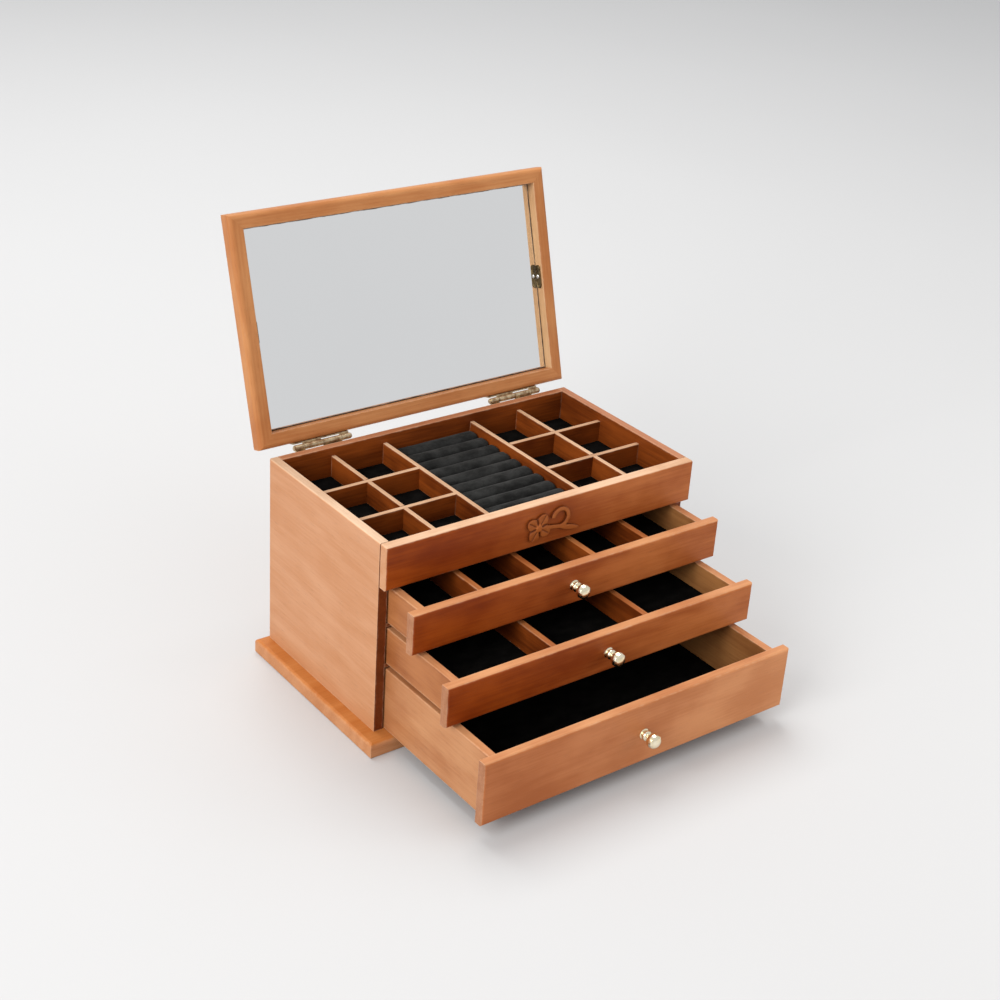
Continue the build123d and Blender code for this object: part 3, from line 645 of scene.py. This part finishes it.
def puff(piece, glued_below, pressure, cap, low, high):
    """Inflate a shell with cloth pressure, with the points up to this height glued down."""
    mesh = piece.data
    start = [v.co.copy() for v in mesh.vertices]
    group = piece.vertex_groups.new(name="glued")
    group.add([v.index for v in mesh.vertices if v.co.z <= glued_below], 1.0, "REPLACE")
    cloth = piece.modifiers.new("Cloth", "CLOTH")
    cloth.settings.use_pressure = True
    cloth.settings.uniform_pressure_force = pressure
    cloth.settings.effector_weights.gravity = 0
    cloth.settings.vertex_group_mass = "glued"
    cloth.settings.mass = 0.02
    for number in range(1, puff_frames + 1):
        bpy.context.scene.frame_set(number)
    take_hold(piece)
    bpy.ops.object.modifier_apply(modifier="Cloth")
    bpy.context.scene.frame_set(1)
    piece.vertex_groups.clear()
    furthest = 0.0
    for v, before in zip(mesh.vertices, start):
        move = v.co - before
        furthest = max(furthest, move.length)
        if move.length > cap:
            move *= cap / move.length
        after = before + move
        v.co = Vector(min(max(after[i], low[i]), high[i]) for i in range(3))
    print(piece.name, "rose by up to", round(furthest / MM, 2), "mm, capped at", cap / MM)


# %% [markdown]
# ## Velvet pads
# Each cell has its own pad. A pad starts as a grid of squares of the cell's size, is thickened by
# extruding it upwards, gets its edges rounded, and is then puffed up.

# %% One pad for each cell
pad_square = 3.2 * MM
pad_gap = 0.25 * MM
pad_rise = 0.9 * MM


def pad_for(points):
    """A thin slab of small squares that fills the room of one flat pad."""
    low, high = corners(points)
    size = high - low
    let_go()
    bpy.ops.mesh.primitive_grid_add(
        x_subdivisions=max(4, round(size.x / pad_square)),
        y_subdivisions=max(4, round(size.y / pad_square)),
        size=1.0,
        location=((low.x + high.x) / 2, (low.y + high.y) / 2, low.z + 0.02 * MM),
    )
    pad = named("pad")
    pad.scale = (size.x - 2 * pad_gap, size.y - 2 * pad_gap, 1.0)
    settle(pad)
    bpy.ops.object.mode_set(mode="EDIT")
    bpy.ops.mesh.select_all(action="SELECT")
    lift = {"value": (0, 0, size.z - 0.1 * MM)}
    bpy.ops.mesh.extrude_region_move(TRANSFORM_OT_translate=lift)
    bpy.ops.object.mode_set(mode="OBJECT")
    clean_shell(pad)
    apply_modifier(pad, "BEVEL", width=0.45 * MM, segments=2, limit_method="ANGLE")
    return pad


def pads_in(node, name, body, pressure):
    """All the pads of one node, puffed up together as one piece."""
    pads = [pad_for(points) for points in solids_of(node)]
    piece = join(pads, name)
    low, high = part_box(node)
    puff(piece, low.z + 0.5 * MM, pressure, pad_rise, low, high + Vector((0, 0, pad_rise)))
    smooth_shade(piece, 60)
    piece.data.materials.append(black_velvet)
    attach(piece, body)
    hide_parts(node)
    print(name, len(pads), "pads,", len(piece.data.polygons), "faces")


pads_in("tray_liners_left", "velvet_pads_tray_left", "case", 2.0)
pads_in("tray_liners_right", "velvet_pads_tray_right", "case", 2.0)
for number, pressure in ((1, 1.0), (2, 0.6), (3, 0.3)):
    pads_in(f"drawer_{number}_liner", f"velvet_pads_drawer_{number}", f"drawer_{number}", pressure)

# %% [markdown]
# ## Ring rolls
# Ten foam rolls wrapped in charcoal velvet stand side by side, and a ring is pushed into the crease
# between two of them. One roll is modelled and puffed up, then copied along the row. Each copy is
# nudged by a little smooth noise, because foam that was cut and wrapped by hand is never straight.

# %% One roll
roll_points = solids_of("ring_rolls")
roll_low, roll_high = corners(roll_points[0])
roll_size = roll_high - roll_low
roll_round = 0.34 * roll_size.y
roll_room = Vector((0.6, 0.4, 0.8)) * MM


def round_roll():
    """A bar of foam with a round top and soft ends."""
    let_go()
    bpy.ops.mesh.primitive_cube_add(size=1.0, location=(roll_low + roll_high) / 2)
    bar = named("velvet_ring_roll")
    bar.scale = roll_size - roll_room
    settle(bar)
    bpy.ops.object.mode_set(mode="EDIT")
    shell = bmesh.from_edit_mesh(bar.data)
    middle = (roll_low + roll_high) / 2
    for edge in shell.edges:
        ends = [v.co for v in edge.verts]
        long_edge = abs(ends[0].x - ends[1].x) > roll_size.x / 2
        edge.select_set(long_edge and min(e.z for e in ends) > middle.z)
    bmesh.update_edit_mesh(bar.data)
    bpy.ops.mesh.bevel(offset=roll_round, offset_type="OFFSET", segments=8, affect="EDGES")
    bpy.ops.object.mode_set(mode="OBJECT")
    clean_shell(bar)
    apply_modifier(bar, "BEVEL", width=2.2 * MM, segments=3, limit_method="ANGLE", angle_limit=0.9)
    apply_modifier(bar, "REMESH", mode="VOXEL", voxel_size=1.5 * MM)
    return bar


roll_bar = round_roll()
puff(roll_bar, roll_low.z + 1.5 * MM, 40.0, 1.0 * MM, roll_low, roll_high)
apply_modifier(roll_bar, "SMOOTH", factor=0.5, iterations=2)
print("one roll:", len(roll_bar.data.vertices), "points")

# %% Ten rolls in a row
roll_lean = 0.55 * MM
roll_stray = 0.15 * MM
rolls = []
for number, points in enumerate(roll_points):
    low, high = corners(points)
    one = copy_of(roll_bar, low - roll_low)
    for v in one.data.vertices:
        lean = noise.noise(Vector((v.co.x * 45, number * 7.3, v.co.z * 30)))
        sag = noise.noise(Vector((v.co.x * 28, number * 3.1, 5.0)))
        height = (v.co.z - low.z) / roll_size.z
        v.co.y += roll_lean * lean * height
        v.co.z -= roll_lean * abs(sag) * height
        v.co.y = min(max(v.co.y, low.y - roll_stray), high.y + roll_stray)
    rolls.append(one)
take_hold(roll_bar)
bpy.ops.object.delete()
ring_rolls = join(rolls, "velvet_ring_rolls")
smooth_shade(ring_rolls, 80)
ring_rolls.data.materials.append(charcoal_velvet)
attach(ring_rolls, "case")
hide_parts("ring_rolls")
print("rolls:", len(ring_rolls.data.polygons), "faces")

# %% [markdown]
# ## Turned brass knobs
# A knob this small is turned on a lathe: a foot against the drawer, a round collar, a thin neck, and
# a head cut with flat facets that sparkle. The way to model turning is the same: draw half of the
# outline and spin it about the axis. The head is spun in few steps, and those steps are its facets.

# %% Spin an outline


def spun(name, outline, steps, foot):
    """Spin an outline of (distance from the foot, radius) points about a line along -Y."""
    let_go()
    bpy.ops.mesh.primitive_plane_add(size=1.0 * MM, location=foot)
    piece = named(name)
    settle(piece)
    bpy.ops.object.mode_set(mode="EDIT")
    bpy.ops.mesh.select_all(action="SELECT")
    bpy.ops.mesh.merge(type="CENTER")
    at = (0.0, 0.0)
    for away, radius in outline:
        move = {"value": (0, (at[0] - away) * MM, (radius - at[1]) * MM)}
        if (away, radius) == outline[0]:
            bpy.ops.transform.translate(**move)
        else:
            bpy.ops.mesh.extrude_region_move(TRANSFORM_OT_translate=move)
        at = (away, radius)
    bpy.ops.mesh.select_all(action="SELECT")
    bpy.ops.mesh.spin(steps=steps, angle=math.tau, center=foot, axis=(0, 1, 0))
    bpy.ops.object.mode_set(mode="OBJECT")
    clean_shell(piece)
    return piece


# %% A knob for each drawer
knob_collar = [
    (0.0, 0.0),
    (0.0, 4.4),
    (0.8, 4.4),
    (1.2, 4.0),
    (1.5, 3.1),
    (1.9, 3.1),
    (2.4, 3.8),
    (3.2, 4.25),
    (4.4, 4.25),
    (5.2, 3.8),
    (5.7, 3.0),
    (6.3, 2.4),
    (8.0, 2.4),
    (8.0, 0.0),
]
knob_head = [
    (7.4, 0.0),
    (7.4, 2.6),
    (8.4, 4.9),
    (9.8, 5.85),
    (11.9, 6.0),
    (14.2, 5.5),
    (15.6, 4.1),
    (16.2, 2.4),
    (16.6, 0.0),
]
facets = 14


def knob(number):
    """A two-stage knob whose foot touches the drawer front."""
    low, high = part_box(f"drawer_{number}_knob")
    foot = Vector(((low.x + high.x) / 2, high.y, (low.z + high.z) / 2))
    collar = spun("collar", knob_collar, 48, foot)
    smooth_shade(collar, 40)
    head = spun("head", knob_head, facets, foot)
    apply_modifier(head, "BEVEL", width=0.14 * MM, segments=2, limit_method="ANGLE", angle_limit=0.2)
    smooth_shade(head, 12)
    piece = join([collar, head], f"brass_knob_{number}")
    piece.data.materials.append(polished_brass)
    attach(piece, f"drawer_{number}")
    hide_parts(f"drawer_{number}_knob")
    return piece


for number in (1, 2, 3):
    print("knob", number, len(knob(number).data.polygons), "faces")

# %% [markdown]
# ## Screws with cross slots
# The hinge leaves and the mirror clips are held by small cross-head screws. The screw is spun as the
# knobs are, and the cross is cut out of its head with two thin bars and a Boolean modifier.

# %% One screw, turned to where each one goes
flat_screw = [(0.0, 0.0), (0.0, 1.7), (-0.8, 0.95), (-5.2, 0.85), (-6.0, 0.0)]
round_screw = [(0.0, 0.0), (-0.1, 1.1), (-0.35, 1.6), (-0.7, 1.8), (-0.7, 0.9), (-6.0, 0.8), (-6.7, 0.0)]


def cross_screw(outline, width):
    """A screw at the origin that looks along -Y, with a cross cut in its head."""
    screw = spun("screw", outline, 28, Vector((0, 0, 0)))
    for size in ((width, 1.0, 0.45), (0.45, 1.0, width)):
        let_go()
        bpy.ops.mesh.primitive_cube_add(size=1.0, location=(0, 0, 0))
        bar = named("bar")
        bar.scale = Vector(size) * MM
        settle(bar)
        apply_modifier(screw, "BOOLEAN", object=bar, operation="DIFFERENCE", solver="EXACT")
        bpy.data.objects.remove(bar)
    return screw


def screws_at(node, name, body, outline, width, facing, material):
    """One screw for each solid of a node, looking the way that facing says."""
    made = []
    for points in solids_of(node):
        middle = sum(points, Vector()) / len(points)
        ahead = facing(middle)
        reach = max((p - middle).dot(ahead) for p in points)
        screw = cross_screw(outline, width)
        angle = random.Random(name + str(len(made))).uniform(0, 1.5)
        turned = Vector((0, -1, 0)).rotation_difference(ahead).to_matrix().to_4x4()
        spin = Matrix.Rotation(angle, 4, "Y")
        screw.data.transform(Matrix.Translation(middle + ahead * reach) @ turned @ spin)
        made.append(screw)
    piece = join(made, name)
    smooth_shade(piece, 30)
    piece.data.materials.append(material)
    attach(piece, body)
    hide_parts(node)
    print(name, len(made), "screws")


lid_out = Matrix.Rotation(lid_turn, 3, "X") @ Vector((0, 0, 1))
lid_along = Matrix.Rotation(lid_turn, 3, "X") @ Vector((0, 1, 0))
backwards = Vector((0, 1, 0))
for node, body, facing in (
    ("case_hinge_screws", "case", lambda p: backwards),
    ("lid_hinge_screws", "lid", lambda p: -lid_along),
):
    name = node.replace("screws", "cross_screws")
    screws_at(node, name, body, flat_screw, 2.2, facing, hinge_brass)
screws_at(
    "mirror_clip_screws",
    "mirror_clip_cross_screws",
    "lid",
    round_screw,
    2.2,
    lambda p: Vector((-1 if p.x > 0 else 1, 0, 0)),
    screw_steel,
)

# %% [markdown]
# ## Carved flower
# The ornament on the apron is cut from the same wood and glued on. The loaded node has its outline
# with sharp edges. A copy of it is merged into one shell, remeshed into even small squares and
# smoothed, which rounds every edge the way sandpaper does. Veins, and gaps between the petals, are
# then pressed in by moving its points, and the colour is darker down in them: painted shade in the
# hollows, where the stain also pools. Sculpting by hand would do the same, but this can be
# repeated exactly.

# %% A softened copy of a loaded node


def softened_copy(node, name, square, factor, rounds):
    """A free copy of a node, remeshed into small squares and smoothed for some rounds."""
    piece = copy_of(nodes[node], Vector((0, 0, 0)))
    piece.parent = None
    piece.matrix_world = Matrix.Identity(4)
    for key in list(piece.keys()):
        del piece[key]
    take_hold(piece)
    named(name)
    clean_shell(piece)
    apply_modifier(piece, "REMESH", mode="VOXEL", voxel_size=square)
    apply_modifier(piece, "SMOOTH", factor=factor, iterations=rounds)
    piece.data.materials.clear()
    return piece


# %% Vein the flower
flower_low, flower_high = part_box("carved_flower")
flower = softened_copy("carved_flower", "carved_flower_relief", 0.42 * MM, 0.6, 7)
petal_tips = 11.1 * MM
flower_middle = Vector((flower_low.x + petal_tips, 0, flower_low.z + petal_tips))
bud_radius = 2.6 * MM
furthest_cut = 11.5 * MM
stem_side = 10.4 * MM
foot_left_alone = 0.8 * MM
quarter = math.pi / 2
petal_tilt = math.radians(12)
# where a cut starts round the flower, how deep it is, and how wide
vein = (quarter / 2, 0.7 * MM, 0.5 * MM)
gap_between_petals = (0, 1.3 * MM, 0.8 * MM)
for v in flower.data.vertices:
    out = v.co - flower_middle
    reach = math.hypot(out.x, out.z)
    on_a_petal = bud_radius < reach < furthest_cut and out.x <= stem_side
    if v.co.y > flower_high.y - foot_left_alone or not on_a_petal:
        continue
    for start, cut_depth, cut_width in (vein, gap_between_petals):
        angle = (math.atan2(out.z, out.x) - petal_tilt - start) % quarter
        aside = reach * math.sin(min(angle, quarter - angle))
        v.co.y += cut_depth * math.exp(-((aside / cut_width) ** 2))
smooth_shade(flower, 80)
centre, half = box_about("carved_flower")
# painted shade below the depth sunk, in the carving's hollows
flower.data.materials.append(
    wood("wood_carved_flower", "carved", X, centre, half, rubbing_and_highlight_share=0.0, sunk=-0.45 * MM)
)
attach(flower, "case")
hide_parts("carved_flower")
flower_size = [round(length / MM, 1) for length in flower_high - flower_low]
print("flower", flower_size, "mm,", len(flower.data.polygons), "faces")

# %% [markdown]
# ## Mirror clips
# Two stamped brass clips hold the glass. Stamping dishes the middle and leaves a raised rim, so a
# merged copy of the plain plate is remeshed finely, smoothed and pressed in around its centre line.

# %% Press the clips
clips = softened_copy("mirror_clips", "stamped_mirror_clips", 0.24 * MM, 0.5, 4)
clip_reach = 3 * MM
clip_face_depth = 0.7 * MM
clip_straight = 7.0 * MM
dish_radius = 1.6 * MM
dish_slope = 0.9 * MM
dish_depth = 0.4 * MM
for points in solids_of("mirror_clips"):
    low, high = corners(points)
    middle = (low + high) / 2
    inward = -1 if middle.x > 0 else 1
    face = max(p.x * inward for p in points)
    for v in clips.data.vertices:
        out = v.co - middle
        if abs(out.x) > clip_reach or v.co.x * inward < face - clip_face_depth:
            continue
        beyond = max(0.0, abs(out.dot(lid_along)) - clip_straight)
        aside = math.hypot(beyond, out.dot(lid_out))
        dish = 1 - min(max((aside - dish_radius) / dish_slope, 0), 1)
        v.co.x -= inward * dish_depth * dish
smooth_shade(clips, 50)
clips.data.materials.append(aged_brass)
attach(clips, "lid")
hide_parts("mirror_clips")
print("clips", len(clips.data.polygons), "faces")

# %% [markdown]
# ## Floor and light
# The box stands on a plain pale floor in a white room. A wide soft light on the left is the key,
# which brightens the left side and the tops; a weaker one on the right keeps the fronts from
# going dull. The room itself is an even pale light, and it is what the mirror shows.

# %% Floor
let_go()
bpy.ops.mesh.primitive_circle_add(vertices=96, radius=9.0, fill_type="NGON", location=(0, 0, 0))
floor = named("pale_floor")
paper = Finish("pale_floor")
mottle = paper.noise(paper.place(), (1.1, 0.7, 1.0), 2.0)
floor.data.materials.append(
    paper.done(
        **{
            "Base Color": paper.blend(mottle, colour(0.535, 0.537, 0.54), colour(0.565, 0.567, 0.57)),
            "Roughness": 0.6,
            "Specular IOR Level": 0.1,
        }
    )
)
floor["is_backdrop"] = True

# %% Lights


def soft_light(name, place, aim, size, power, tint, mirrored=True):
    """A square soft light at a place, aimed at a point, which a mirror can be told not to show."""
    data = bpy.data.lights.new(name, "AREA")
    data.shape = "SQUARE"
    data.size = size
    data.energy = power
    data.color = tint
    lamp = bpy.data.objects.new(name, data)
    bpy.context.scene.collection.objects.link(lamp)
    lamp.location = place
    lamp.rotation_euler = (Vector(aim) - Vector(place)).to_track_quat("-Z", "Y").to_euler()
    lamp.visible_camera = False
    lamp.visible_glossy = mirrored


box_middle = (packed_box[0] + packed_box[1]) / 2
soft_light("key", (-3.4, -0.9, 2.0), box_middle, 2.2, 120, (1.0, 0.98, 0.96))
soft_light("top", (0.2, 1.3, 2.9), box_middle, 2.2, 70, (1.0, 0.99, 0.97))
soft_light("fill", (0.95, -1.0, 0.45), box_middle, 0.5, 3.5, (1.0, 0.93, 0.86), mirrored=False)

room = bpy.data.worlds.new("room")
room.use_nodes = True
room.node_tree.nodes["Background"].inputs["Color"].default_value = colour(0.98, 0.985, 1.0)
room.node_tree.nodes["Background"].inputs["Strength"].default_value = 0.70
bpy.context.scene.world = room
bpy.context.scene.view_settings.view_transform = "Standard"

# %% [markdown]
# ## Finish
# The size of what shows is printed beside the size of the imported model.

# %% Write the sizes and finish
shown_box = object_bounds()
for name, box in (("packed", packed_box), ("shown", shown_box)):
    print(name, "box from", [round(x, 4) for x in box[0]], "to", [round(x, 4) for x in box[1]])
